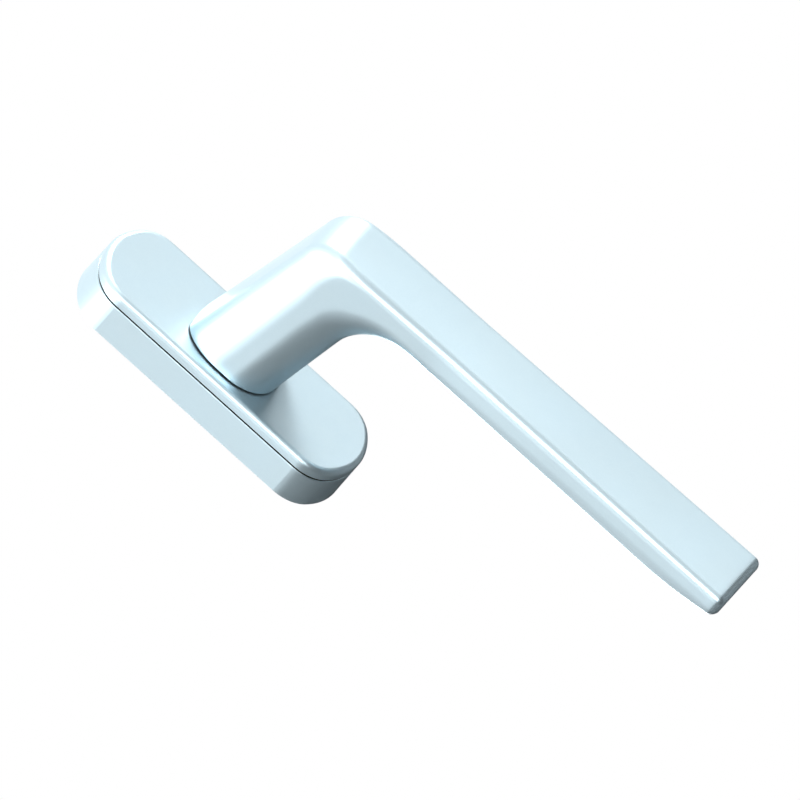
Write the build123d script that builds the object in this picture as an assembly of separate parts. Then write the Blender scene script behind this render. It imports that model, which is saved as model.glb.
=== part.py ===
from build123d import *
import math
import os

# Casement door handle on an oblong base with rounded ends.
# Millimetres. The mounting face lies at Y = 0 and the handle stands out towards -Y. Z runs along the
# base with the closed lever pointing down, X runs across it, and the origin is on the spindle axis.
# "Height" is always the distance in front of the mounting face, "reach" the distance below the axis.

# Base and cover, outside
base_length = 76.0
base_width = 28.2
base_corner_radius = 9.3
base_end_radius = 17.7
base_height = 9.0
base_draft = 0.8
base_top_edge = 0.3
rim_step = 0.2
rim_width = 0.7
cover_gap = 0.3
cover_height = 2.9
cover_edge_radius = 1.5

# Base, inside
housing_wall = 1.9
deck_thickness = 1.7
post_rib_thickness = 1.5
joint_overlap = 0.5
plate_thickness = 1.2
plate_ledge = 0.9
plate_clearance = 0.15
hub_ring_radius = 12.0
hub_ring_height = 1.7

# Fixing screws
fixing_centres = 43.0
fixing_hole_radius = 2.7
fixing_head_radius = 5.1
fixing_post_radius = 5.6

# Back plate screws
plate_screw_side = 6.1
plate_screw_end = 8.5
plate_screw_radius = 1.25
plate_screw_head_radius = 2.2
plate_screw_length = 5.0
plate_screw_clearance = 0.1
plate_boss_radius = 2.6
pilot_extra_depth = 0.3
driver_slot_width = 0.7
driver_slot_length = 2.6
driver_slot_depth = 0.6

# Cover shell
cover_wall = 1.4
cover_hole_clearance = 0.35
cover_running_gap = 0.1

# Lever journal and what it turns in
journal_radius = 8.0
journal_fit = 0.05
journal_end = 1.5
journal_flats = 13.2
bush_wall = 1.35
bush_seat_fit = 0.05
bush_flange_radius = 10.4
bush_flange_thickness = 0.6
flat_gap = 0.05
keyed_fit = 0.05

# Washers, cam and retaining ring
stop_washer_thickness = 0.5
stop_washer_radius = 10.4
stop_tab_radius = 12.0
stop_tab_width = 5.0
stop_lug_gap = 0.15
stop_lug_depth = 3.0
stop_lug_clearance = 0.3
cam_thickness = 2.3
cam_width = 19.0
cam_corner_radius = 11.3
wave_washer_thickness = 0.25
wave_washer_bow = 0.3
wave_washer_radius = 10.2
ring_thickness = 0.8
ring_radius = 9.2
ring_groove_depth = 0.8
ring_opening = 9.0
ring_eye_radius = 1.5
ring_eye_hole_radius = 0.6
ring_eye_out = 0.9
ring_eye_in = 0.2
ring_end_trim = 0.5
slide_ring_inset = 0.8

# Leaf springs of the detent
spring_thickness = 0.6
spring_height = 2.1
spring_length = 44.0
spring_curl_length = 1.44
spring_curl_out = 0.64
spring_fit = 0.1
spring_seat_along = 17.0
spring_seat_length = 2.2
spring_seat_thickness = 1.2

# Spindle and drive pin
spindle_width = 7.0
spindle_fit = 0.06
spindle_projection = 8.0
spindle_depth = 16.5
spindle_chamfer = 0.6
spindle_opening_gap = 1.0
pin_radius = 1.5
pin_fit = 0.05
pin_height = 9.2
pin_end_gap = 0.4
pin_chamfer = 0.2

# Neck foot and grip
foot_gap = 0.45
foot_length = 24.5
foot_width = 21.3
head_projection = 47.65
tip_projection = 49.1
tip_reach = 121.0
neck_front_lean = 10.9
neck_back_lean = 8.25
head_bend_radius = 8.0
inner_bend_radius = 15.5
grip_start = 36.0
grip_underside = 38.3
waist_width = 19.8
tip_width = 21.5
tip_end_radius = 2.1
tip_round_turn = 82.0
tip_lift_length = 21.0
tip_lift_radius = 75.0

# Rounding of the lever's section
foot_front_strip = 8.6
neck_front_strip = 11.6
head_front_strip = 14.2
waist_front_strip = 15.0
tip_front_strip = 17.4
front_crown = 0.22
back_crown = 0.25
least_corner = 0.35
foot_side_flat_start = -0.75
foot_side_flat_end = 2.5
side_flat_lean = 8.2
grip_side_flat_start = 2.6
grip_side_flat_end = 5.4
tip_side_flat_start = 2.2
tip_side_flat_end = 3.9
side_flat_bend_radius = 18.0
foot_back_flat = 4.4
grip_back_flat = 12.0

# Places that follow from the sizes above
plate_screw_across = base_width / 2 - plate_screw_side
plate_screw_along = base_length / 2 - plate_screw_end
tip_lift_start = tip_reach - tip_lift_length
cover_underside = base_height + cover_gap
cover_face = cover_underside + cover_height
ceiling_height = base_height - deck_thickness
hub_ring_top = base_height + hub_ring_height
foot_height = cover_face + foot_gap
bush_flange_height = ceiling_height - flat_gap - bush_flange_thickness
stop_washer_height = bush_flange_height - flat_gap - stop_washer_thickness
cam_height = stop_washer_height - flat_gap - cam_thickness
ring_height = cam_height - wave_washer_thickness - wave_washer_bow - ring_thickness
bush_bore = journal_radius + journal_fit
bush_radius = bush_bore + bush_wall


# Shapes in planes parallel to the mounting face
def slab(outline, low, high, draft=0.0):
    """Solid between two heights above an outline drawn across (x) and along (z) the base."""
    return extrude(Plane.XZ.offset(low) * outline, high - low, taper=draft)


def disc(radius, low, high, across=0.0, along=0.0):
    return slab(Pos(across, along) * Circle(radius), low, high)


def cone(low_radius, high_radius, low, high, across=0.0, along=0.0):
    low_circle = Plane.XZ.offset(low) * (Pos(across, along) * Circle(low_radius))
    high_circle = Plane.XZ.offset(high) * (Pos(across, along) * Circle(high_radius))
    return loft([low_circle, high_circle], ruled=True)


def base_outline(inset=0.0):
    """Oblong whose ends are one large arc between two smaller corner arcs."""
    half_width = base_width / 2 - inset
    half_length = base_length / 2 - inset
    corner = base_corner_radius - inset
    end = base_end_radius - inset
    end_centre = half_length - end
    corner_across = half_width - corner
    corner_along = end_centre + math.sqrt((end - corner) ** 2 - corner_across**2)
    turn = math.degrees(math.atan2(corner_along - end_centre, corner_across))
    right = Line((half_width, -corner_along), (half_width, corner_along))
    corner_arc = CenterArc((corner_across, corner_along), corner, 0, turn)
    end_arc = CenterArc((0, end_centre), end, turn, 180 - 2 * turn)
    top = Curve() + [corner_arc, end_arc, mirror(corner_arc, Plane.YZ)]
    edges = Curve() + [right, top, mirror(right, Plane.YZ), mirror(top, Plane.XZ)]
    return make_face(edges)


def flatted_disc(radius, across_flats, low, high):
    """Disc with two parallel flats that face +X and -X."""
    return disc(radius, low, high) & slab(Rectangle(across_flats, 3 * radius), low, high)


# Housing of the base
def base_housing():
    rim_height = base_height - rim_step
    body = slab(base_outline(), 0, rim_height, base_draft)
    rim = body.faces().sort_by(Axis.Y)[0].outer_wire().edges()
    body = fillet(rim, base_top_edge)
    body += slab(base_outline(rim_width), rim_height - joint_overlap, base_height)
    body -= slab(base_outline(housing_wall), 0, ceiling_height)
    body -= slab(base_outline(plate_ledge), 0, plate_thickness)
    body += disc(hub_ring_radius, base_height - joint_overlap, hub_ring_top)
    for side in (-1, 1):
        along = side * fixing_centres / 2
        post = disc(fixing_post_radius, plate_thickness, ceiling_height, 0, along)
        rib_end = base_length / 2 - housing_wall
        rib_centre = (abs(along) + rib_end) / 2
        rib = Pos(0, side * rib_centre) * Rectangle(post_rib_thickness, rib_end - abs(along))
        body += post + slab(rib, plate_thickness, ceiling_height)
        body += plate_bosses(side)
        body += spring_seats(side) + stop_lug(side)
    body -= disc(bush_radius + bush_seat_fit, 0, hub_ring_top)
    for side in (-1, 1):
        along = side * fixing_centres / 2
        head_depth = fixing_head_radius - fixing_hole_radius
        body -= disc(fixing_hole_radius, 0, base_height, 0, along)
        body -= cone(fixing_hole_radius, fixing_head_radius, base_height - head_depth, base_height, 0, along)
        for across in (-plate_screw_across, plate_screw_across):
            pilot_radius = plate_screw_radius + plate_screw_clearance
            pilot_end = plate_screw_length + pilot_extra_depth
            body -= disc(pilot_radius, 0, pilot_end, across, side * plate_screw_along)
    return body


def plate_bosses(side):
    """The two bosses at one end that take the screws of the back plate."""
    along = side * plate_screw_along
    left = disc(plate_boss_radius, plate_thickness, ceiling_height, -plate_screw_across, along)
    right = disc(plate_boss_radius, plate_thickness, ceiling_height, plate_screw_across, along)
    return left + right


def spring_seats(side):
    """Slots at one end that hold the ends of both leaf springs."""
    spring_inside = cam_width / 2 + spring_fit
    spring_outside = spring_inside + spring_thickness
    wall_inside = base_width / 2 - housing_wall
    along = side * (spring_seat_along + spring_seat_length / 2)
    outer_width = wall_inside - spring_outside - spring_fit + joint_overlap
    outer_across = spring_outside + spring_fit + outer_width / 2
    inner_across = spring_inside - spring_fit - spring_seat_thickness / 2
    seats = Part()
    for across in (-1, 1):
        outer = Pos(across * outer_across, along) * Rectangle(outer_width, spring_seat_length)
        inner = Pos(across * inner_across, along) * Rectangle(spring_seat_thickness, spring_seat_length)
        seats += slab(outer, plate_thickness, ceiling_height)
        seats += slab(inner, plate_thickness, ceiling_height)
    return seats


def stop_lug(side):
    """Lug under the deck that the tab of the stop washer meets after a quarter turn."""
    inside = stop_washer_radius + stop_lug_clearance
    outside = base_width / 2 - housing_wall + joint_overlap
    along = -(stop_tab_width / 2 + stop_lug_gap + stop_lug_depth / 2)
    lug = Pos(side * (inside + outside) / 2, along) * Rectangle(outside - inside, stop_lug_depth)
    low = stop_washer_height - flat_gap
    return slab(lug, low, ceiling_height)


# Plate that closes the housing at the back
def back_plate():
    plate = slab(base_outline(plate_ledge + plate_clearance), 0, plate_thickness - flat_gap)
    plate -= disc(spindle_width / math.sqrt(2) + spindle_opening_gap, 0, plate_thickness)
    for side in (-1, 1):
        plate -= disc(fixing_hole_radius, 0, plate_thickness, 0, side * fixing_centres / 2)
        for across in (-plate_screw_across, plate_screw_across):
            plate -= plate_screw_form(plate_screw_clearance, across, side * plate_screw_along)
    return plate


def plate_screw_form(clearance, across, along):
    """Countersunk screw, or the room that it needs when it is given a clearance."""
    shank_radius = plate_screw_radius + clearance
    head_radius = plate_screw_head_radius + clearance
    head_depth = plate_screw_head_radius - plate_screw_radius
    head = cone(head_radius, shank_radius, 0, head_depth, across, along)
    return head + disc(shank_radius, head_depth, plate_screw_length, across, along)


def plate_screw(across, along):
    screw = plate_screw_form(0.0, across, along)
    slot = Rectangle(driver_slot_width, driver_slot_length)
    cross = slot + Rot(0, 0, 90) * slot
    return screw - slab(Pos(across, along) * cross, 0, driver_slot_depth)


# Cover that turns about the neck
def cover_plate():
    """Shell whose outer edge stops higher than its land, so that a shadow groove runs round it."""
    land_height = base_height + cover_running_gap
    top_inset = base_height * math.tan(math.radians(base_draft))
    body = slab(base_outline(top_inset), cover_underside, cover_face)
    rim = body.faces().sort_by(Axis.Y)[0].outer_wire().edges()
    body = fillet(rim, cover_edge_radius)
    body += slab(base_outline(rim_width), land_height, cover_underside + joint_overlap)
    inner_height = hub_ring_top + cover_running_gap
    body -= slab(base_outline(cover_wall), land_height, inner_height)
    body -= disc(journal_radius + cover_hole_clearance, land_height, cover_face)
    return body


# Turning parts inside the base
def bearing_bush():
    sleeve = disc(bush_radius, bush_flange_height, hub_ring_top)
    flange = disc(bush_flange_radius, bush_flange_height, ceiling_height - flat_gap)
    return sleeve + flange - disc(bush_bore, bush_flange_height, hub_ring_top)


def journal_bore(low, high):
    """Hole that fits the journal where it has its two flats."""
    return flatted_disc(journal_radius + keyed_fit, journal_flats + 2 * keyed_fit, low, high)


def stop_washer():
    low = stop_washer_height
    high = low + stop_washer_thickness
    tab_end = disc(stop_tab_radius, low, high)
    tab = slab(Pos(0, stop_tab_radius / 2) * Rectangle(stop_tab_width, stop_tab_radius), low, high) & tab_end
    return disc(stop_washer_radius, low, high) + tab - journal_bore(low, high)


def detent_cam():
    low = cam_height
    high = low + cam_thickness
    cam = slab(Rectangle(cam_width, cam_width), low, high) & disc(cam_corner_radius, low, high)
    return cam - journal_bore(low, high)


def wave_washer():
    """Ring cut from a slightly bent sheet, so that it bears on four places."""
    low = ring_height + ring_thickness
    bend_radius = (wave_washer_radius**2 + wave_washer_bow**2) / (2 * wave_washer_bow)
    profile = Plane.YZ.offset(-wave_washer_radius) * Pos(-low - bend_radius, 0)
    sheet = Circle(bend_radius) - Circle(bend_radius - wave_washer_thickness)
    sheet = extrude(profile * sheet, 2 * wave_washer_radius)
    ring = Circle(wave_washer_radius) - Circle(journal_radius + cover_running_gap)
    return slab(ring, low, low + wave_washer_thickness + wave_washer_bow) & sheet


def retaining_ring():
    low = ring_height
    high = low + ring_thickness - flat_gap
    inner_radius = journal_radius - ring_groove_depth + keyed_fit
    eye_across = ring_opening / 2 + ring_eye_out
    eye_along = math.sqrt(ring_radius**2 - eye_across**2) - ring_eye_in
    trim = Pos(0, ring_radius) * Rectangle(ring_opening - 2 * ring_end_trim, 2 * ring_radius)
    ring = disc(ring_radius, low, high)
    for side in (-1, 1):
        ring += disc(ring_eye_radius, low, high, side * eye_across, eye_along)
    ring -= disc(inner_radius, low, high)
    ring -= slab(trim, low, high)
    for side in (-1, 1):
        ring -= disc(ring_eye_hole_radius, low, high, side * eye_across, eye_along)
    return ring


def detent_spring(side):
    """Flat strip beside the cam, with its ends turned outwards a little."""
    middle = cam_width / 2 + spring_fit + spring_thickness / 2
    end = spring_length / 2
    path = Polyline(
        (middle + spring_curl_out, -end),
        (middle, spring_curl_length - end),
        (middle, end - spring_curl_length),
        (middle + spring_curl_out, end),
    )
    strip = slab(trace(path, spring_thickness), cam_height, cam_height + spring_height)
    if side < 0:
        return mirror(strip, Plane.YZ)
    return strip


def slide_ring():
    ring = Circle(foot_width / 2 - slide_ring_inset) - Circle(journal_radius + cover_hole_clearance / 2)
    return slab(ring, cover_face + flat_gap, foot_height - flat_gap)


def spindle():
    low = -spindle_projection
    high = spindle_depth
    bar = slab(Rectangle(spindle_width, spindle_width), low, high)
    ends = bar.faces().sort_by(Axis.Y)
    end_edges = ends[0].edges() + ends[-1].edges()
    bar = chamfer(end_edges, spindle_chamfer)
    return bar - pin_shape(pin_radius + pin_fit, journal_radius)


def pin_shape(radius, half_length):
    """Round bar across the journal."""
    return Pos(0, -pin_height, 0) * Rot(0, 90, 0) * Cylinder(radius, 2 * half_length)


def drive_pin():
    pin = pin_shape(pin_radius, journal_radius - pin_end_gap)
    return chamfer(pin.edges().filter_by(GeomType.CIRCLE), pin_chamfer)


# Lever, drawn in side view as four lines from the foot to the grip and then rounded by sections
def side_point(reach, height):
    return Vector(0, -height, -reach)


def lean_shift(lean, height):
    return math.tan(math.radians(lean)) * (height - cover_face)


def between(share, start, end):
    return start + (end - start) * share


def front_height(reach):
    """Height of the front of the grip, which rises slightly towards the tip."""
    return cover_face + between(reach / tip_reach, head_projection, tip_projection)


def underside_height(reach):
    lift = max(0.0, reach - tip_lift_start)
    return cover_face + grip_underside + lift**2 / (2 * tip_lift_radius)


def side_line(foot_reach, lean, corner_height, end_height, bend_radius):
    """Line up the neck and along the grip, with a round bend if it has a radius."""
    foot = side_point(foot_reach + lean_shift(lean, foot_height), foot_height)
    corner = side_point(foot_reach + lean_shift(lean, corner_height), corner_height)
    grip = side_point(grip_start, end_height)
    if bend_radius > 0:
        return FilletPolyline(foot, corner, grip, radius=bend_radius)
    return Polyline(foot, corner, grip)


def crossing_share(front, back, line):
    """Share of the way from front to back at which a side line crosses the cut between them."""
    cut = back - front
    upward = cut.cross(Vector(1, 0, 0))
    low = 0.0
    high = 1.0
    halvings = 30
    for _ in range(halvings):
        middle = (low + high) / 2
        if (line.position_at(middle) - front).dot(upward) > 0:
            high = middle
        else:
            low = middle
    return (line.position_at(low) - front).dot(cut) / cut.dot(cut)


def lever_section(front, back, half_width, front_half, flat_start, flat_end, back_half):
    """Rounded outline in the plane through two side points and across the lever."""
    depth = (back - front).length
    plane = Plane(origin=front, x_dir=(1, 0, 0), z_dir=Vector(1, 0, 0).cross(back - front))
    crown = Vector(front_half, front_crown)
    corner_top = depth * flat_start
    corner_end = depth * flat_end
    back_start = depth - back_crown
    corner = EllipticalCenterArc(
        (front_half, corner_top), half_width - front_half, corner_top - front_crown, -90, arc_size=90
    )
    flat = Line((half_width, corner_top), (half_width, corner_end))
    round_back = EllipticalCenterArc(
        (back_half, corner_end), half_width - back_half, back_start - corner_end, 0, arc_size=90
    )
    front_arc = ThreePointArc((-crown.X, crown.Y), (0, 0), (crown.X, crown.Y))
    back_arc = ThreePointArc((back_half, back_start), (0, depth), (-back_half, back_start))
    half = [corner, flat, round_back]
    edges = [front_arc, back_arc] + half + [mirror(edge, Plane.YZ) for edge in half]
    return plane * make_face(edges)


def front_strip_width(share):
    """Width of the front strip from the foot (0) over the head to the start of the grip (1)."""
    head_start = 0.5
    head_end = 0.7
    if share < head_start:
        return between(share / head_start, foot_front_strip, neck_front_strip)
    if share < head_end:
        head_share = (share - head_start) / (head_end - head_start)
        return between(head_share, neck_front_strip, head_front_strip)
    return between((share - head_end) / (1 - head_end), head_front_strip, waist_front_strip)


def neck_sections(count):
    """Sections from the foot round the bend to the start of the grip."""
    corner_height = cover_face + head_projection
    inner_height = cover_face + grip_underside
    flat_back_height = front_height(grip_start) - grip_side_flat_end
    flat_front_height = front_height(grip_start) - grip_side_flat_start
    crest = side_line(
        -foot_length / 2, neck_front_lean, corner_height, front_height(grip_start), head_bend_radius
    )
    underside = side_line(
        foot_length / 2, neck_back_lean, inner_height, inner_height, inner_bend_radius
    )
    flat_front = side_line(foot_side_flat_start, side_flat_lean, flat_front_height, flat_front_height, 0)
    flat_back = side_line(
        foot_side_flat_end, side_flat_lean, flat_back_height, flat_back_height, side_flat_bend_radius
    )
    sections = []
    for index in range(count):
        share = index / count
        front = crest.position_at(share)
        back = underside.position_at(share)
        half_width = between(share, foot_width, waist_width) / 2
        front_strip = front_strip_width(share)
        back_flat = between(share, foot_back_flat, grip_back_flat)
        sections.append(
            lever_section(
                front,
                back,
                half_width,
                front_strip / 2,
                crossing_share(front, back, flat_front),
                crossing_share(front, back, flat_back),
                back_flat / 2,
            )
        )
    return sections


def grip_section(reach, inset=0.0):
    """Upright section of the grip, drawn in from its surface by an inset where the tip rounds off."""
    share = (reach - grip_start) / (tip_reach - grip_start)
    front = side_point(reach, front_height(reach) - inset)
    back = side_point(reach, underside_height(reach) + inset)
    depth = (back - front).length
    half_width = between(share, waist_width, tip_width) / 2 - inset
    front_half = between(share, waist_front_strip, tip_front_strip) / 2
    front_half = min(front_half, half_width - least_corner)
    flat_start = between(share, grip_side_flat_start, tip_side_flat_start) - inset
    flat_start = max(flat_start, front_crown + least_corner)
    flat_end = between(share, grip_side_flat_end, tip_side_flat_end) - inset
    return lever_section(
        front, back, half_width, front_half, flat_start / depth, flat_end / depth, grip_back_flat / 2
    )


def grip_and_neck():
    """Outer form of the lever, from the foot of the neck to the rounded tip."""
    neck_count = 16
    grip_count = 12
    tip_count = 7
    round_start = tip_reach - tip_end_radius
    grip_step = (round_start - grip_start) / grip_count
    sections = neck_sections(neck_count)
    sections += [grip_section(grip_start + grip_step * index) for index in range(grip_count + 1)]
    tip_sections = []
    for index in range(tip_count):
        turn = math.radians(tip_round_turn) * index / (tip_count - 1)
        inset = tip_end_radius * (1 - math.cos(turn))
        tip_sections.append(grip_section(round_start + tip_end_radius * math.sin(turn), inset))
    return loft(sections) + loft(tip_sections)


def lever():
    body = grip_and_neck()
    keyed_top = stop_washer_height + stop_washer_thickness + flat_gap
    overlap = 1.0
    body += disc(journal_radius, keyed_top, foot_height + overlap)
    body += flatted_disc(journal_radius, journal_flats, journal_end, keyed_top)
    groove = Circle(journal_radius + 1) - Circle(journal_radius - ring_groove_depth)
    body -= slab(groove, ring_height - flat_gap, ring_height + ring_thickness)
    socket_width = spindle_width + 2 * spindle_fit
    body -= slab(Rectangle(socket_width, socket_width), journal_end, spindle_depth + spindle_fit)
    body -= pin_shape(pin_radius + pin_fit, journal_radius + 1)
    return body


# All pieces by name
pieces = {
    "base_housing": base_housing(),
    "back_plate": back_plate(),
    "bearing_bush": bearing_bush(),
    "detent_spring_left": detent_spring(-1),
    "detent_spring_right": detent_spring(1),
    "cover_plate": cover_plate(),
    "lever": lever(),
    "slide_ring": slide_ring(),
    "stop_washer": stop_washer(),
    "detent_cam": detent_cam(),
    "wave_washer": wave_washer(),
    "retaining_ring": retaining_ring(),
    "spindle": spindle(),
    "drive_pin": drive_pin(),
}
screw_places = [(across, along) for along in (1, -1) for across in (-1, 1)]
for number, (across, along) in enumerate(screw_places, start=1):
    screw = plate_screw(across * plate_screw_across, along * plate_screw_along)
    pieces[f"plate_screw_{number}"] = screw

os.makedirs("parts", exist_ok=True)
for name, piece in pieces.items():
    export_step(piece, f"parts/{name}.step")
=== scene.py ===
import bmesh
import bpy
import math
from mathutils import Matrix, Vector


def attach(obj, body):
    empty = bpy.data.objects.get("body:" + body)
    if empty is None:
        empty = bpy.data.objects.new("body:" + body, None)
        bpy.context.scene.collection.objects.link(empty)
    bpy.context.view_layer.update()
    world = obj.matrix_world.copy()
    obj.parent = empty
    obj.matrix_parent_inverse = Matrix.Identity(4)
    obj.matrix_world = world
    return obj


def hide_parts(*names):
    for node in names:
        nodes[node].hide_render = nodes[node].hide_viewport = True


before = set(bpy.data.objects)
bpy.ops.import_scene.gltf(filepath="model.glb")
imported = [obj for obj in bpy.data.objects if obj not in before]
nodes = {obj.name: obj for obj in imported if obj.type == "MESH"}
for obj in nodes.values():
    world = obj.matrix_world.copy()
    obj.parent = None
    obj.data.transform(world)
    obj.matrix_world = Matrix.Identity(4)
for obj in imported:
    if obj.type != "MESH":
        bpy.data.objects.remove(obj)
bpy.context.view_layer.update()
mm = 0.001
print("frame loaded:", len(nodes), "nodes")


# camera: the drawing is a parallel view, rolled so that the closed lever runs to the lower right
camera = {
    "aimAt": Vector((10.24, -24.83, -34.96)) * mm,
    "right": Vector((0.4219, -0.5201, -0.7426)),
    "up": Vector((0.4678, -0.5767, 0.6697)),
    "picturePixels": 800,
    "pixelsPerMm": 4.4,
    "distance": 0.7,
    "clipStart": 0.01,
    "clipEnd": 20,
}


def makeCamera(s):
    data = bpy.data.cameras.new("drawingView")
    data.type = "ORTHO"
    data.ortho_scale = s["picturePixels"] / s["pixelsPerMm"] * mm
    data.clip_start = s["clipStart"]
    data.clip_end = s["clipEnd"]
    right = s["right"].normalized()
    back = right.cross(s["up"]).normalized()
    up = back.cross(right)
    turn = Matrix((right, up, back)).transposed().to_4x4()
    eye = bpy.data.objects.new("drawingView", data)
    eye.matrix_world = Matrix.Translation(s["aimAt"] + back * s["distance"]) @ turn
    bpy.context.scene.collection.objects.link(eye)
    bpy.context.scene.camera = eye


makeCamera(camera)
print("camera set")


# studio: two soft lamps from above and two level with the handle, so that its undersides fall into shade
studio = {
    "keyFrom": (-0.78, 0.28, 0.52),
    "keyPower": 1.35,
    "keySize": 0.8,
    "fillFrom": (0.60, -0.65, 0.45),
    "fillPower": 1.15,
    "fillSize": 0.8,
    "edgeFrom": (-0.78, -0.60, 0.05),
    "edgePower": 0.5,
    "edgeSize": 0.8,
    "backFrom": (0.55, 0.82, 0.05),
    "backPower": 0.34,
    "backSize": 0.6,
    "lampDistance": 1.0,
    "lampSpread": 28.0,
    "ambient": 0.04,
    "floorGlow": 0.85,
    "floorDrop": 0.6,
    "floorSize": 40.0,
    "floorColor": (0.68, 0.70, 0.71),
    "floorRoughness": 0.8,
    "backgroundColor": (1.0, 1.0, 1.0),
}


def addLamp(s, name):
    data = bpy.data.lights.new(name + "Softbox", "AREA")
    data.shape = "SQUARE"
    data.size = s[name + "Size"]
    data.energy = s[name + "Power"]
    data.spread = math.radians(s["lampSpread"])
    lamp = bpy.data.objects.new(name + "Softbox", data)
    direction = Vector(s[name + "From"]).normalized()
    lamp.location = camera["aimAt"] + direction * s["lampDistance"]
    lamp.rotation_mode = "QUATERNION"
    lamp.rotation_quaternion = direction.to_track_quat("Z", "Y")
    bpy.context.scene.collection.objects.link(lamp)


def addNode(tree, kind, **values):
    node = tree.nodes.new(kind)
    for name, value in values.items():
        setattr(node, name, value)
    return node


def paleRays(tree, kinds):
    rays = tree.nodes.new("ShaderNodeLightPath")
    total = rays.outputs[kinds[0]]
    for kind in kinds[1:]:
        larger = addNode(tree, "ShaderNodeMath", operation="MAXIMUM")
        tree.links.new(total, larger.inputs[0])
        tree.links.new(rays.outputs[kind], larger.inputs[1])
        total = larger.outputs[0]
    return total


def makeWorld(s):
    world = bpy.data.worlds.new("paleStudio")
    world.use_nodes = True
    tree = world.node_tree
    tree.nodes.clear()
    shades = []
    for strength in (s["ambient"], 1.0):
        shade = tree.nodes.new("ShaderNodeBackground")
        shade.inputs["Color"].default_value = (*s["backgroundColor"], 1)
        shade.inputs["Strength"].default_value = strength
        shades.append(shade)
    mix = tree.nodes.new("ShaderNodeMixShader")
    out = tree.nodes.new("ShaderNodeOutputWorld")
    tree.links.new(paleRays(tree, ["Is Camera Ray", "Is Glossy Ray", "Is Transmission Ray"]), mix.inputs[0])
    tree.links.new(shades[0].outputs[0], mix.inputs[1])
    tree.links.new(shades[1].outputs[0], mix.inputs[2])
    tree.links.new(mix.outputs[0], out.inputs[0])
    bpy.context.scene.world = world


def makeFloor(s):
    half = s["floorSize"] / 2
    mesh = bpy.data.meshes.new("studioFloor")
    corners = [(-half, -half), (half, -half), (half, half), (-half, half)]
    mesh.from_pydata([(x, y, -s["floorDrop"]) for x, y in corners], [], [(0, 1, 2, 3)])
    floor = bpy.data.objects.new("studioFloor", mesh)
    bpy.context.scene.collection.objects.link(floor)
    look = bpy.data.materials.new("paleFloor")
    look.use_nodes = True
    skin = look.node_tree.nodes["Principled BSDF"]
    skin.inputs["Base Color"].default_value = (*s["floorColor"], 1)
    skin.inputs["Roughness"].default_value = s["floorRoughness"]
    tree = look.node_tree
    glow = tree.nodes.new("ShaderNodeEmission")
    glow.inputs["Color"].default_value = (*s["backgroundColor"], 1)
    share = addNode(tree, "ShaderNodeMath", operation="MULTIPLY")
    share.inputs[1].default_value = s["floorGlow"]
    mix = tree.nodes.new("ShaderNodeMixShader")
    tree.links.new(paleRays(tree, ["Is Camera Ray"]), share.inputs[0])
    tree.links.new(share.outputs[0], mix.inputs[0])
    tree.links.new(skin.outputs[0], mix.inputs[1])
    tree.links.new(glow.outputs[0], mix.inputs[2])
    tree.links.new(mix.outputs[0], tree.nodes["Material Output"].inputs["Surface"])
    mesh.materials.append(look)


for name in ("key", "fill", "edge", "back"):
    addLamp(studio, name)
makeWorld(studio)
makeFloor(studio)
print("studio set")


# maths on the sockets of a node tree, written as plain formulas
class Field:
    def __init__(self, tree, socket):
        self.tree = tree
        self.socket = socket

    def put(self, operation, *others):
        node = addNode(self.tree, "ShaderNodeMath", operation=operation)
        for slot, value in zip(node.inputs, (self, *others)):
            if isinstance(value, Field):
                self.tree.links.new(value.socket, slot)
            else:
                slot.default_value = value
        return Field(self.tree, node.outputs[0])

    def __add__(self, other):
        return self.put("ADD", other)

    def __sub__(self, other):
        return self.put("SUBTRACT", other)

    def __mul__(self, other):
        return self.put("MULTIPLY", other)

    def __truediv__(self, other):
        return self.put("DIVIDE", other)


def ramp(field, start, end):
    node = field.tree.nodes.new("ShaderNodeMapRange")
    node.inputs["From Min"].default_value = start
    node.inputs["From Max"].default_value = end
    field.tree.links.new(field.socket, node.inputs["Value"])
    return Field(field.tree, node.outputs["Result"])


# silver coat: between two heights above the door the joints get a near-black painted shade
silverCoat = {
    "tones": ((0.685, 0.855, 0.935), (0.715, 0.885, 0.96)),
    "paintedShadeTone": (0.03, 0.032, 0.035),
    "metallic": 0.95, "roughness": (0.385, 0.42),
    "patchSize": 9.0, "grainSize": (0.5, 0.5, 0.5), "grainShare": 0.3, "grainDepth": 0.002,
}

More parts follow.
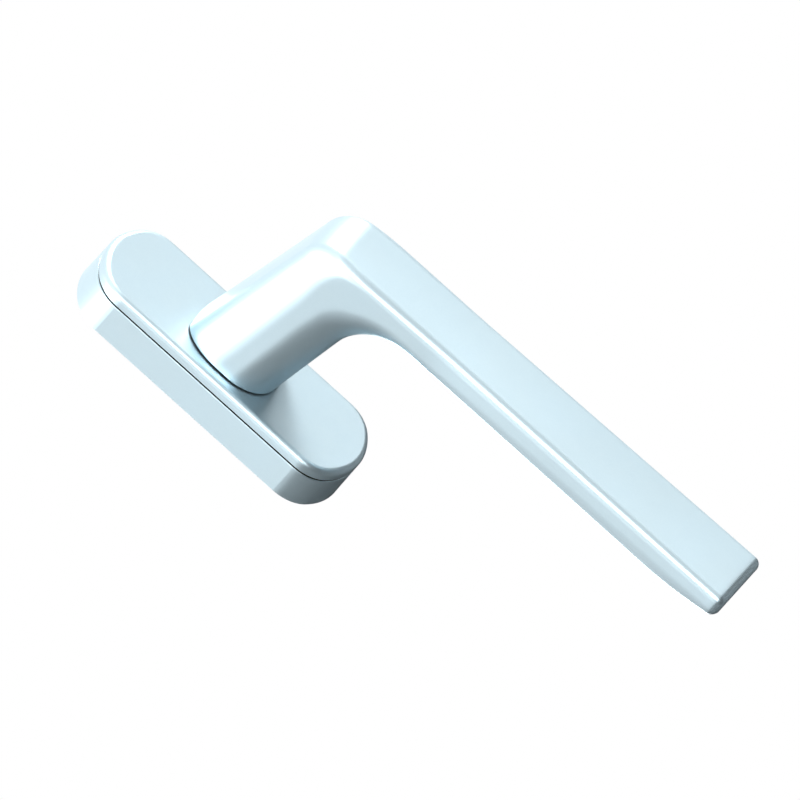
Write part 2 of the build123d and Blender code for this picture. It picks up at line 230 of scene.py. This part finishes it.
# materials: patches are the slow change of tone, grain the fine one; sizes and depths in millimetres
looks = {
    # painted shade in the bands between these heights: the groove between base and cover, and the lever's
    # foot gap
    "baseCoat": {**silverCoat, "slots": ("silver_base",), "paintedShadeBetween": (8.78, 8.99)},
    "coverCoat": {**silverCoat, "slots": ("silver_cover",), "paintedShadeBetween": (9.0, 9.32)},
    "leverCoat": {
        **silverCoat, "slots": ("silver_lever",), "paintedShadeBetween": (0.0, 12.67), "patchSize": 13.0,
        "handPolish": 0.03, "polishFrom": -45.0, "polishFull": -75.0,
    },
    "zincPlate": {
        "slots": ("zinc_plated_steel",),
        "tones": ((0.44, 0.50, 0.55), (0.66, 0.68, 0.66)),
        "metallic": 1.0, "roughness": (0.28, 0.46),
        "patchSize": 6.0, "grainSize": (0.25, 0.25, 3.5), "grainShare": 0.5, "grainDepth": 0.006,
    },
    "screwZinc": {
        "slots": ("screw_steel",),
        "tones": ((0.46, 0.48, 0.46), (0.70, 0.70, 0.62)),
        "metallic": 1.0, "roughness": (0.24, 0.40),
        "patchSize": 1.6, "grainSize": (0.12, 0.12, 0.12), "grainShare": 0.3, "grainDepth": 0.003,
    },
    "drawnSteel": {
        "slots": ("spindle_steel",),
        "tones": ((0.42, 0.44, 0.46), (0.62, 0.63, 0.62)),
        "metallic": 1.0, "roughness": (0.26, 0.44),
        "patchSize": 5.0, "grainSize": (0.14, 4.0, 0.14), "grainShare": 0.65, "grainDepth": 0.008,
    },
    "groundSteel": {
        "slots": ("pin_steel", "washer_steel"),
        "tones": ((0.48, 0.48, 0.49), (0.62, 0.62, 0.61)),
        "metallic": 1.0, "roughness": (0.20, 0.34),
        "patchSize": 3.0, "grainSize": (0.10, 0.9, 0.9), "grainShare": 0.6, "grainDepth": 0.003,
    },
    "sinteredSteel": {
        "slots": ("cam_steel",),
        "tones": ((0.20, 0.20, 0.21), (0.36, 0.36, 0.36)),
        "metallic": 1.0, "roughness": (0.42, 0.62),
        "patchSize": 2.4, "grainSize": (0.16, 0.16, 0.16), "grainShare": 0.7, "grainDepth": 0.02,
    },
    "bluedSteel": {
        "slots": ("spring_steel",),
        "tones": ((0.10, 0.12, 0.17), (0.22, 0.21, 0.22)),
        "metallic": 1.0, "roughness": (0.26, 0.42),
        "patchSize": 5.0, "grainSize": (0.12, 0.12, 2.5), "grainShare": 0.4, "grainDepth": 0.004,
    },
    "blackNylon": {
        "slots": ("ring_plastic",),
        "tones": ((0.030, 0.032, 0.035), (0.055, 0.058, 0.062)),
        "metallic": 0.0, "roughness": (0.38, 0.52),
        "patchSize": 4.0, "grainSize": (0.18, 0.18, 0.18), "grainShare": 0.4, "grainDepth": 0.006,
    },
    "paleAcetal": {
        "slots": ("bush_plastic",),
        "tones": ((0.66, 0.65, 0.60), (0.76, 0.75, 0.71)),
        "metallic": 0.0, "roughness": (0.30, 0.42),
        "patchSize": 3.0, "grainSize": (0.4, 0.4, 0.4), "grainShare": 0.3, "grainDepth": 0.003,
    },
}


noises = {"patchDetail": 3.0, "grainDetail": 2.0, "blendFrom": 0.35, "blendTo": 0.65}


def noiseOf(tree, size, detail):
    place = tree.nodes.new("ShaderNodeTexCoord")
    fit = tree.nodes.new("ShaderNodeMapping")
    fit.inputs["Scale"].default_value = [1 / (length * mm) for length in size]
    noise = tree.nodes.new("ShaderNodeTexNoise")
    noise.inputs["Scale"].default_value = 1.0
    noise.inputs["Detail"].default_value = detail
    tree.links.new(place.outputs["Object"], fit.inputs["Vector"])
    tree.links.new(fit.outputs["Vector"], noise.inputs["Vector"])
    return Field(tree, noise.outputs[0])


def placeOn(tree, axis):
    place = tree.nodes.new("ShaderNodeTexCoord")
    parts = tree.nodes.new("ShaderNodeSeparateXYZ")
    tree.links.new(place.outputs["Object"], parts.inputs[0])
    return Field(tree, parts.outputs[axis])


def colourMix(tree, share):
    mix = addNode(tree, "ShaderNodeMix", data_type="RGBA")
    tree.links.new(share.socket, mix.inputs[0])
    first, second = [socket for socket in mix.inputs if socket.type == "RGBA"]
    return first, second, [socket for socket in mix.outputs if socket.type == "RGBA"][0]


def makeLook(name, s):
    look = bpy.data.materials.new(name)
    look.use_nodes = True
    tree = look.node_tree
    skin = tree.nodes["Principled BSDF"]
    skin.inputs["Metallic"].default_value = s["metallic"]
    patches = noiseOf(tree, [s["patchSize"]] * 3, noises["patchDetail"])
    grain = noiseOf(tree, s["grainSize"], noises["grainDetail"])
    both = patches * (1 - s["grainShare"]) + grain * s["grainShare"]
    blend = ramp(both, noises["blendFrom"], noises["blendTo"])
    dark, light, tone = colourMix(tree, blend)
    dark.default_value = (*s["tones"][0], 1)
    light.default_value = (*s["tones"][1], 1)
    # painted shade: the band between two heights turns near black, standing in for the shadow in the joint
    if "paintedShadeBetween" in s:
        low, high = s["paintedShadeBetween"]
        height = placeOn(tree, "Y") * -1
        shadedBand = height.put("GREATER_THAN", low * mm) * height.put("LESS_THAN", high * mm)
        silver, paintedShade, shown = colourMix(tree, shadedBand)
        paintedShade.default_value = (*s["paintedShadeTone"], 1)
        tree.links.new(tone, silver)
        tone = shown
    tree.links.new(tone, skin.inputs["Base Color"])
    smooth, rough = s["roughness"]
    sheen = blend * (smooth - rough) + rough
    if "handPolish" in s:
        held = ramp(placeOn(tree, "Z"), s["polishFrom"] * mm, s["polishFull"] * mm)
        sheen = sheen - held * s["handPolish"]
    tree.links.new(sheen.socket, skin.inputs["Roughness"])
    bump = tree.nodes.new("ShaderNodeBump")
    bump.inputs["Distance"].default_value = s["grainDepth"] * mm
    tree.links.new(grain.socket, bump.inputs["Height"])
    tree.links.new(bump.outputs["Normal"], skin.inputs["Normal"])
    return look


lookOf = {}
for name, s in looks.items():
    made = makeLook(name, s)
    for slotName in s["slots"]:
        lookOf[slotName] = made
for name, node in nodes.items():
    slotName = node.data.materials[0].name.split(".")[0]
    node.data.materials.clear()
    node.data.materials.append(lookOf[slotName])
print("materials made:", ", ".join(looks))


# lever, in millimetres and degrees: reach counts down from the spindle axis, height out from the door
lever = {
    "slot": "silver_lever",
    "coverFace": 12.2,
    "footGap": 0.45,
    "footLength": 24.5,
    "footWidth": 21.3,
    "headProjection": 47.65,
    "tipProjection": 49.1,
    "tipReach": 121.0,
    "frontLean": 10.9,
    "backLean": 8.25,
    "headBend": 8.0,
    "innerBend": 15.5,
    "gripStart": 36.0,
    "gripUnderside": 38.3,
    "waistWidth": 19.8,
    "tipWidth": 21.5,
    "tipRound": 2.1,
    "tipRoundTurn": 82.0,
    "tipLiftLength": 21.0,
    "tipLiftRadius": 75.0,
    "frontStrips": (8.6, 11.6, 14.2, 15.0),
    "frontStripPlaces": (0.0, 0.5, 0.7, 1.0),
    "tipFrontStrip": 17.4,
    "frontCrown": 0.22,
    "backCrown": 0.25,
    "leastCorner": 0.35,
    "sideFlatLean": 8.2,
    "footSideFlat": (-0.75, 2.5),
    "gripSideFlat": (2.6, 5.4),
    "tipSideFlat": (2.2, 3.9),
    "flatBends": (5.0, 18.0),
    "footBackFlat": 4.4,
    "gripBackFlat": 12.0,
    "neckStations": 90,
    "gripStations": 90,
    "tipStations": 12,
    "softenStations": 5,
    "pointsAround": 145,
    "turnShares": (0.13, 0.42, 0.52, 0.87),     # half way round: front, corner, side flat, back rounding
    "journalRadius": 8.0,
    "socketDepth": 16.56,
    "sharpAngle": 0.6,      # radians
}
halvings = 30
stationLengths = ("halfWidth", "frontHalf", "backHalf", "flatStart", "flatEnd")


def between(share, start, end):
    return start + (end - start) * share


def frontHeight(s, reach):
    return s["coverFace"] + between(reach / s["tipReach"], s["headProjection"], s["tipProjection"])


def undersideHeight(s, reach):
    lift = max(0.0, reach - s["tipReach"] + s["tipLiftLength"])
    return s["coverFace"] + s["gripUnderside"] + lift ** 2 / (2 * s["tipLiftRadius"])


def bentLine(start, corner, end, bend):
    into, out = (corner - start).normalized(), (end - corner).normalized()
    turn = into.angle(out)
    cut = bend * math.tan(turn / 2)
    first, last = corner - into * cut, corner + out * cut
    lengths = [(first - start).length, bend * turn, (end - last).length]

    def place(share):
        run = share * sum(lengths)
        if run < lengths[0]:
            return start + into * run
        if run < lengths[0] + lengths[1]:
            angle = (run - lengths[0]) / bend
            inward = (out - into * into.dot(out)).normalized()
            return first + into * bend * math.sin(angle) + inward * bend * (1 - math.cos(angle))
        return last + out * (run - lengths[0] - lengths[1])

    return place


def sideLine(s, footReach, lean, cornerHeight, endHeight, bend):
    footHeight = s["coverFace"] + s["footGap"]
    slope = math.tan(math.radians(lean))
    foot = Vector((footReach + slope * s["footGap"], footHeight))
    corner = Vector((footReach + slope * (cornerHeight - s["coverFace"]), cornerHeight))
    return bentLine(foot, corner, Vector((s["gripStart"], endHeight)), bend)


def crossing(front, back, line):
    cut = back - front
    low, high = 0.0, 1.0
    for _ in range(halvings):
        middle = (low + high) / 2
        if cut.cross(line(middle) - front) > 0:
            high = middle
        else:
            low = middle
    return (line(low) - front).dot(cut) / cut.length


def throughPoints(places, values, share):
    count = len(places)
    slopes = []
    for i in range(count):
        before, after = max(i - 1, 0), min(i + 1, count - 1)
        slopes.append((values[after] - values[before]) / (places[after] - places[before]))
    i = max(k for k in range(count - 1) if places[k] <= share)
    step = places[i + 1] - places[i]
    t = (share - places[i]) / step
    rise = values[i + 1] - values[i]
    return (values[i] + rise * t * t * (3 - 2 * t)
            + step * slopes[i] * t * (1 - t) ** 2 - step * slopes[i + 1] * t * t * (1 - t))


def neckStations(s):
    start = s["gripStart"]
    headHeight = s["coverFace"] + s["headProjection"]
    innerHeight = s["coverFace"] + s["gripUnderside"]
    endHeight = frontHeight(s, start)
    crest = sideLine(s, -s["footLength"] / 2, s["frontLean"], headHeight, endHeight, s["headBend"])
    under = sideLine(s, s["footLength"] / 2, s["backLean"], innerHeight, innerHeight, s["innerBend"])
    flats = []
    for foot, drop, bend in zip(s["footSideFlat"], s["gripSideFlat"], s["flatBends"]):
        flats.append(sideLine(s, foot, s["sideFlatLean"], endHeight - drop, endHeight - drop, bend))
    stations = []
    for i in range(s["neckStations"]):
        share = i / s["neckStations"]
        front, back = crest(share), under(share)
        stations.append({
            "front": front,
            "back": back,
            "halfWidth": between(share, s["footWidth"], s["waistWidth"]) / 2,
            "frontHalf": throughPoints(s["frontStripPlaces"], s["frontStrips"], share) / 2,
            "backHalf": between(share, s["footBackFlat"], s["gripBackFlat"]) / 2,
            "flatStart": crossing(front, back, flats[0]),
            "flatEnd": crossing(front, back, flats[1]),
        })
    return stations


def gripStation(s, reach, inset=0.0):
    share = (reach - s["gripStart"]) / (s["tipReach"] - s["gripStart"])
    halfWidth = between(share, s["waistWidth"], s["tipWidth"]) / 2 - inset
    frontHalf = between(share, s["frontStrips"][-1], s["tipFrontStrip"]) / 2
    flatStart = between(share, s["gripSideFlat"][0], s["tipSideFlat"][0]) - inset
    return {
        "front": Vector((reach, frontHeight(s, reach) - inset)),
        "back": Vector((reach, undersideHeight(s, reach) + inset)),
        "halfWidth": halfWidth,
        "frontHalf": min(frontHalf, halfWidth - s["leastCorner"]),
        "backHalf": s["gripBackFlat"] / 2,
        "flatStart": max(flatStart, s["frontCrown"] + s["leastCorner"]),
        "flatEnd": between(share, s["gripSideFlat"][1], s["tipSideFlat"][1]) - inset,
    }


def soften(values, reach):
    soft = []
    for i in range(len(values)):
        window = min(reach, i, len(values) - 1 - i)
        near = values[i - window:i + window + 1]
        soft.append(sum(near) / len(near))
    return soft


def leverStations(s):
    stations = neckStations(s)
    roundStart = s["tipReach"] - s["tipRound"]
    step = (roundStart - s["gripStart"]) / s["gripStations"]
    stations += [gripStation(s, s["gripStart"] + step * i) for i in range(s["gripStations"])]
    for name in stationLengths:
        soft = soften([station[name] for station in stations], s["softenStations"])
        for station, value in zip(stations, soft):
            station[name] = value
    for i in range(s["tipStations"] + 1):
        turn = math.radians(s["tipRoundTurn"]) * i / s["tipStations"]
        inset = s["tipRound"] * (1 - math.cos(turn))
        stations.append(gripStation(s, roundStart + s["tipRound"] * math.sin(turn), inset))
    for station in stations:
        station["open"] = 1.0
    stations.append({**stations[-1], "open": 0.0})      # the last ring shrinks to a point in the tip
    return stations


def sidePoint(point):
    return Vector((0, -point.y, -point.x)) * mm


def stationMesh(s):
    stations = leverStations(s)
    mesh = bpy.data.meshes.new("leverStations")
    mesh.from_pydata([sidePoint(station["front"]) for station in stations], [], [])
    underside = mesh.attributes.new("underside", "FLOAT_VECTOR", "POINT")
    for i, station in enumerate(stations):
        underside.data[i].vector = sidePoint(station["back"])
    for name in (*stationLengths, "open"):
        unit = 1 if name == "open" else mm
        values = mesh.attributes.new(name, "FLOAT", "POINT")
        for i, station in enumerate(stations):
            values.data[i].value = station[name] * unit
    return mesh


# geometry trees: points numbered row by row on a grid are bent into a closed shape
gridShapes = {"mergeDistance": 0.001, "rowNudge": 0.0001}


def newTree(name, sizes, counts):
    tree = bpy.data.node_groups.new(name, "GeometryNodeTree")
    sockets = [("Geometry", "NodeSocketGeometry")]
    sockets += [(label, "NodeSocketFloat") for label in (*sizes, "Merge Distance")]
    sockets += [(label, "NodeSocketInt") for label in counts]
    for label, kind in (*sockets, ("Coat", "NodeSocketMaterial")):
        tree.interface.new_socket(label, in_out="INPUT", socket_type=kind)
    tree.interface.new_socket("Geometry", in_out="OUTPUT", socket_type="NodeSocketGeometry")
    given = tree.nodes.new("NodeGroupInput")
    size = {label: Field(tree, given.outputs[label]) for label in (*sizes, *counts)}
    return tree, given, tree.nodes.new("NodeGroupOutput"), size


def numberedGrid(tree, rows, points):
    grid = tree.nodes.new("GeometryNodeMeshGrid")
    tree.links.new(rows.socket, grid.inputs["Vertices X"])
    tree.links.new(points.socket, grid.inputs["Vertices Y"])
    index = Field(tree, tree.nodes.new("GeometryNodeInputIndex").outputs[0])
    row = (index / points + gridShapes["rowNudge"]).put("FLOOR")
    return grid.outputs["Mesh"], row, index - row * points


def bent(tree, given, grid, place):
    shape = tree.nodes.new("GeometryNodeSetPosition")
    tree.links.new(grid, shape.inputs["Geometry"])
    tree.links.new(place, shape.inputs["Position"])
    merge = tree.nodes.new("GeometryNodeMergeByDistance")
    tree.links.new(shape.outputs["Geometry"], merge.inputs["Geometry"])
    tree.links.new(given.outputs["Merge Distance"], merge.inputs["Distance"])
    return merge.outputs["Geometry"]


def smoothed(tree, mesh):
    smooth = tree.nodes.new("GeometryNodeSetShadeSmooth")
    tree.links.new(mesh, smooth.inputs["Geometry"])
    return smooth.outputs["Geometry"]


def coated(tree, given, made, geometry):
    real = tree.nodes.new("GeometryNodeRealizeInstances")
    tree.links.new(geometry, real.inputs["Geometry"])
    coat = tree.nodes.new("GeometryNodeSetMaterial")
    tree.links.new(real.outputs["Geometry"], coat.inputs["Geometry"])
    tree.links.new(given.outputs["Coat"], coat.inputs["Material"])
    tree.links.new(coat.outputs["Geometry"], made.inputs["Geometry"])


def vectorMath(tree, operation, first, second):
    node = addNode(tree, "ShaderNodeVectorMath", operation=operation)
    tree.links.new(first, node.inputs[0])
    tree.links.new(second, node.inputs["Scale" if operation == "SCALE" else 1])
    return node.outputs["Vector"]


def leverTree(s):
    tree, given, made, size = newTree("roundedLever", ["Front Crown", "Back Crown"], ["Points Around"])
    link = tree.links.new
    count = tree.nodes.new("GeometryNodeAttributeDomainSize")
    link(given.outputs["Geometry"], count.inputs["Geometry"])
    rings = Field(tree, count.outputs["Point Count"])
    grid, station, number = numberedGrid(tree, rings, size["Points Around"])
    turn = number / (size["Points Around"] - 1)

    def sampled(name, kind):
        attribute = addNode(tree, "GeometryNodeInputNamedAttribute", data_type=kind)
        attribute.inputs["Name"].default_value = name
        sample = addNode(tree, "GeometryNodeSampleIndex", data_type=kind)
        link(given.outputs["Geometry"], sample.inputs["Geometry"])
        link(attribute.outputs["Attribute"], sample.inputs["Value"])
        link(station.socket, sample.inputs["Index"])
        return sample.outputs["Value"]

    halfWidth, frontHalf, backHalf, flatStart, flatEnd, isOpen = [
        Field(tree, sampled(name, "FLOAT")) for name in (*stationLengths, "open")
    ]
    front, back = sampled("position", "FLOAT_VECTOR"), sampled("underside", "FLOAT_VECTOR")
    across = vectorMath(tree, "SUBTRACT", back, front)
    span = addNode(tree, "ShaderNodeVectorMath", operation="LENGTH")
    link(across, span.inputs[0])
    depth = Field(tree, span.outputs["Value"])
    frontCrown, backCrown = size["Front Crown"], size["Back Crown"]

    # half way round runs from the middle of the front to the middle of the back
    half = (turn * 2 - 1).put("ABSOLUTE") * -1 + 1
    side = (turn * -1 + 0.5).put("SIGN")
    stripEnd, cornerEnd, sideEnd, underEnd = s["turnShares"]
    strip = ramp(half, 0.0, stripEnd)
    corner = ramp(half, stripEnd, cornerEnd) * (math.pi / 2)
    flat = ramp(half, cornerEnd, sideEnd)
    under = ramp(half, sideEnd, underEnd) * (math.pi / 2)
    belly = ramp(half, underEnd, 1.0) * -1 + 1
    width = (frontHalf * strip + (halfWidth - frontHalf) * corner.put("SINE")
             - (halfWidth - backHalf) * (under.put("COSINE") * -1 + 1) - backHalf * (belly * -1 + 1))
    drop = (frontCrown * strip * strip + (flatStart - frontCrown) * (corner.put("COSINE") * -1 + 1)
            + (flatEnd - flatStart) * flat + (depth - backCrown - flatEnd) * under.put("SINE")
            + backCrown * (belly * belly * -1 + 1))
    share = (drop / depth - 0.5) * isOpen + 0.5
    sideways = width * side * isOpen

    offset = tree.nodes.new("ShaderNodeCombineXYZ")
    link(sideways.socket, offset.inputs["X"])
    place = vectorMath(tree, "ADD", front, vectorMath(tree, "SCALE", across, share.socket))
    final = vectorMath(tree, "ADD", place, offset.outputs["Vector"])
    coated(tree, given, made, smoothed(tree, bent(tree, given, grid, final)))
    return tree


def applyTree(name, mesh, tree, sizes, counts, slot):
    values = {label: size * mm for label, size in sizes.items()}
    values.update(counts)
    values["Merge Distance"] = gridShapes["mergeDistance"] * mm
    values["Coat"] = lookOf[slot]
    source = bpy.data.objects.new(name + "Source", mesh)
    bpy.context.scene.collection.objects.link(source)
    modifier = source.modifiers.new(name, "NODES")
    modifier.node_group = tree
    for socket in tree.interface.items_tree:
        if socket.in_out == "INPUT" and socket.name in values:
            modifier[socket.identifier] = values[socket.name]
    graph = bpy.context.evaluated_depsgraph_get()
    result = bpy.data.meshes.new_from_object(source.evaluated_get(graph))
    source.modifiers.remove(modifier)
    bpy.data.objects.remove(source)
    result.name = name
    result.materials.clear()
    result.materials.append(lookOf[slot])
    result.polygons.foreach_set("material_index", [0] * len(result.polygons))
    return result


def addPiece(name, mesh, body, replaced):
    piece = bpy.data.objects.new(name, mesh)
    bpy.context.scene.collection.objects.link(piece)
    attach(piece, body)
    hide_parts(*replaced)


small = 1e-6        # metres


def journalMesh(s):
    footHeight = (s["coverFace"] + s["footGap"]) * mm
    radius, depth = s["journalRadius"] * mm + 10 * small, s["socketDepth"] * mm + 10 * small
    cad = bmesh.new()
    cad.from_mesh(nodes["lever"].data)
    bmesh.ops.remove_doubles(cad, verts=cad.verts, dist=small)
    unwanted = []
    for face in cad.faces:
        far = max(math.hypot(corner.co.x, corner.co.z) for corner in face.verts)
        high = max(-corner.co.y for corner in face.verts)
        low = min(-corner.co.y for corner in face.verts)
        isFoot = low > footHeight - small and high < footHeight + small
        if far > radius or high > depth or isFoot:
            unwanted.append(face)
    bmesh.ops.delete(cad, geom=unwanted, context="FACES")
    journal = bpy.data.meshes.new("journal")
    cad.to_mesh(journal)
    cad.free()
    return journal


def addJournal(s, form):
    journal = journalMesh(s)
    whole = bmesh.new()
    whole.from_mesh(form)
    tipEnd = min(corner.co.z for corner in whole.verts)
    for face in whole.faces:
        face.smooth = max(corner.co.z for corner in face.verts) > tipEnd + small    # the tip's end is flat
    whole.from_mesh(journal)
    rims = [edge for edge in whole.edges if edge.is_boundary]
    bmesh.ops.bridge_loops(whole, edges=rims)
    bmesh.ops.recalc_face_normals(whole, faces=whole.faces)
    for edge in whole.edges:
        if edge.is_manifold:
            edge.smooth = edge.calc_face_angle() < s["sharpAngle"]
    whole.to_mesh(form)
    whole.free()
    bpy.data.meshes.remove(journal)


crowns = {"Front Crown": lever["frontCrown"], "Back Crown": lever["backCrown"]}
around = {"Points Around": lever["pointsAround"]}
form = applyTree("leverForm", stationMesh(lever), leverTree(lever), crowns, around, lever["slot"])
addJournal(lever, form)
addPiece("leverBody", form, "handle", ["lever"])
print("lever form:", len(form.vertices), "points,", len(form.polygons), "faces")


# plate screws: one threaded countersunk screw, set on the four places and turned at random
plateScrews = {
    "slot": "screw_steel",
    "replaced": ["plate_screw_1", "plate_screw_2", "plate_screw_3", "plate_screw_4"],
    "across": 8.0,
    "along": 29.5,
    "counts": {"Rows": 101, "Points Around": 49, "Seed": 5},
    "sharpAngle": 0.5,      # radians
    "sizes": {
        "Head Radius": 2.2, "Head Chamfer": 0.08, "Shank Radius": 1.25, "Length": 5.0, "Tip Length": 0.4,
        "Tip Radius": 0.7, "Pitch": 0.6, "Thread Depth": 0.24, "Recess Width": 0.75, "Recess Length": 2.6,
        "Recess Depth": 0.9,
    },
    "recessTaper": 0.45,
    "rowShares": (0.10, 0.12, 0.25, 0.92, 0.97),        # ends of face, chamfer, cone, shank and tip
    "threadIn": (0.28, 0.34),
    "threadOut": (0.88, 0.92),
}


def turnedPlace(tree, radius, turn, height):
    angle = turn * (2 * math.pi)
    place = tree.nodes.new("ShaderNodeCombineXYZ")
    tree.links.new((radius * angle.put("COSINE")).socket, place.inputs["X"])
    tree.links.new((height * -1).socket, place.inputs["Y"])
    tree.links.new((radius * angle.put("SINE")).socket, place.inputs["Z"])
    return place.outputs["Vector"]


def recessBlock(tree, s, width, length, depth):
    link = tree.links.new
    block = tree.nodes.new("GeometryNodeMeshCube")
    extent = tree.nodes.new("ShaderNodeCombineXYZ")
    for axis, span in zip("XYZ", (width, depth * 2, length)):
        link(span.socket, extent.inputs[axis])
    link(extent.outputs["Vector"], block.inputs["Size"])
    parts = tree.nodes.new("ShaderNodeSeparateXYZ")
    link(tree.nodes.new("GeometryNodeInputPosition").outputs[0], parts.inputs[0])
    narrow = Field(tree, parts.outputs["Y"]) / depth * s["recessTaper"] + 1
    corner = tree.nodes.new("ShaderNodeCombineXYZ")
    for axis in ("X", "Z"):
        link((Field(tree, parts.outputs[axis]) * narrow).socket, corner.inputs[axis])
    link(parts.outputs["Y"], corner.inputs["Y"])
    tapered = tree.nodes.new("GeometryNodeSetPosition")
    link(block.outputs["Mesh"], tapered.inputs["Geometry"])
    link(corner.outputs["Vector"], tapered.inputs["Position"])
    return tapered.outputs["Geometry"]


def screwTree(s):
    tree, given, made, size = newTree("countersunkScrews", s["sizes"], s["counts"])
    link = tree.links.new
    grid, row, number = numberedGrid(tree, size["Rows"], size["Points Around"])
    turn = number / (size["Points Around"] - 1)
    along = row / (size["Rows"] - 1)

    # the outline runs from the middle of the head to the middle of the end
    starts, ends = (0.0, *s["rowShares"]), (*s["rowShares"], 1.0)
    face, chamfer, cone, shank, tip, end = [ramp(along, *span) for span in zip(starts, ends)]
    headDepth = size["Head Radius"] - size["Shank Radius"]
    faceRadius = size["Head Radius"] - size["Head Chamfer"]
    tipStep = size["Shank Radius"] - size["Tip Radius"]
    depth = (size["Head Chamfer"] * chamfer + (headDepth - size["Head Chamfer"]) * cone
             + (size["Length"] - headDepth - size["Tip Length"]) * shank + size["Tip Length"] * tip)
    radius = (faceRadius * face + size["Head Chamfer"] * chamfer - headDepth * cone
              - tipStep * tip - size["Tip Radius"] * end)
    threaded = ramp(along, *s["threadIn"]) * (ramp(along, *s["threadOut"]) * -1 + 1)
    wave = (depth / size["Pitch"] + turn).put("FRACT")
    radius = radius - size["Thread Depth"] * threaded * (wave * 2 - 1).put("ABSOLUTE")

    cut = addNode(tree, "GeometryNodeMeshBoolean", operation="DIFFERENCE", solver="EXACT")
    link(bent(tree, given, grid, turnedPlace(tree, radius, turn, depth)), cut.inputs["Mesh 1"])
    width, length = size["Recess Width"], size["Recess Length"]
    for sides in ((width, length), (length, width)):
        link(recessBlock(tree, s, *sides, size["Recess Depth"]), cut.inputs["Mesh 2"])

    spin = addNode(tree, "FunctionNodeRandomValue", data_type="FLOAT")
    link(size["Seed"].socket, spin.inputs["Seed"])
    drawn = [socket for socket in spin.outputs if socket.type == "VALUE"][0]
    euler = tree.nodes.new("ShaderNodeCombineXYZ")
    link((Field(tree, drawn) * math.pi).socket, euler.inputs["Y"])
    rotation = tree.nodes.new("FunctionNodeEulerToRotation")
    link(euler.outputs["Vector"], rotation.inputs[0])
    copies = tree.nodes.new("GeometryNodeInstanceOnPoints")
    link(given.outputs["Geometry"], copies.inputs["Points"])
    link(smoothed(tree, cut.outputs["Mesh"]), copies.inputs["Instance"])
    link(rotation.outputs[0], copies.inputs["Rotation"])
    coated(tree, given, made, copies.outputs["Instances"])
    return tree


places = bpy.data.meshes.new("screwPlaces")
places.from_pydata([(across * plateScrews["across"] * mm, 0, along * plateScrews["along"] * mm)
                    for along in (1, -1) for across in (-1, 1)], [], [])
screws = applyTree("plateScrews", places, screwTree(plateScrews), plateScrews["sizes"],
                   plateScrews["counts"], plateScrews["slot"])
screws.set_sharp_from_angle(angle=plateScrews["sharpAngle"])
addPiece("plateScrews", screws, "base", plateScrews["replaced"])
print("plate screws:", len(screws.vertices), "points,", len(screws.polygons), "faces")


# wave washer: a flat section carried round in waves, small enough to turn between the leaf springs
waveWasher = {
    "slot": "spring_steel",
    "sizes": {
        "Inner Radius": 8.15, "Outer Radius": 9.4, "Thickness": 0.25, "Bow": 0.28, "Low Height": 3.21,
    },
    "counts": {"Waves": 4, "Steps Around": 145, "Section Points": 5},
    "sharpAngle": 0.5,      # radians
}


def washerTree(s):
    tree, given, made, size = newTree("waveWasher", s["sizes"], s["counts"])
    grid, step, corner = numberedGrid(tree, size["Steps Around"], size["Section Points"])
    turn = step / (size["Steps Around"] - 1)
    # corners 1 and 2 of the square section are outside, 2 and 3 on top
    outer = (corner - 1.5).put("ABSOLUTE").put("LESS_THAN", 1.0)
    upper = (corner - 2.5).put("ABSOLUTE").put("LESS_THAN", 1.0)
    radius = size["Inner Radius"] + (size["Outer Radius"] - size["Inner Radius"]) * outer
    wave = (turn * size["Waves"] * (2 * math.pi)).put("COSINE") * 0.5 + 0.5
    height = size["Low Height"] + size["Bow"] * wave + size["Thickness"] * upper
    ring = bent(tree, given, grid, turnedPlace(tree, radius, turn, height))
    coated(tree, given, made, smoothed(tree, ring))
    return tree


start = bpy.data.meshes.new("washerStart")
washer = applyTree("waveWasher", start, washerTree(waveWasher), waveWasher["sizes"],
                   waveWasher["counts"], waveWasher["slot"])
washer.set_sharp_from_angle(angle=waveWasher["sharpAngle"])
addPiece("waveWasher", washer, "handle", ["wave_washer"])
print("wave washer:", len(washer.vertices), "points,", len(washer.polygons), "faces")

bpy.context.scene.view_settings.view_transform = "Standard"
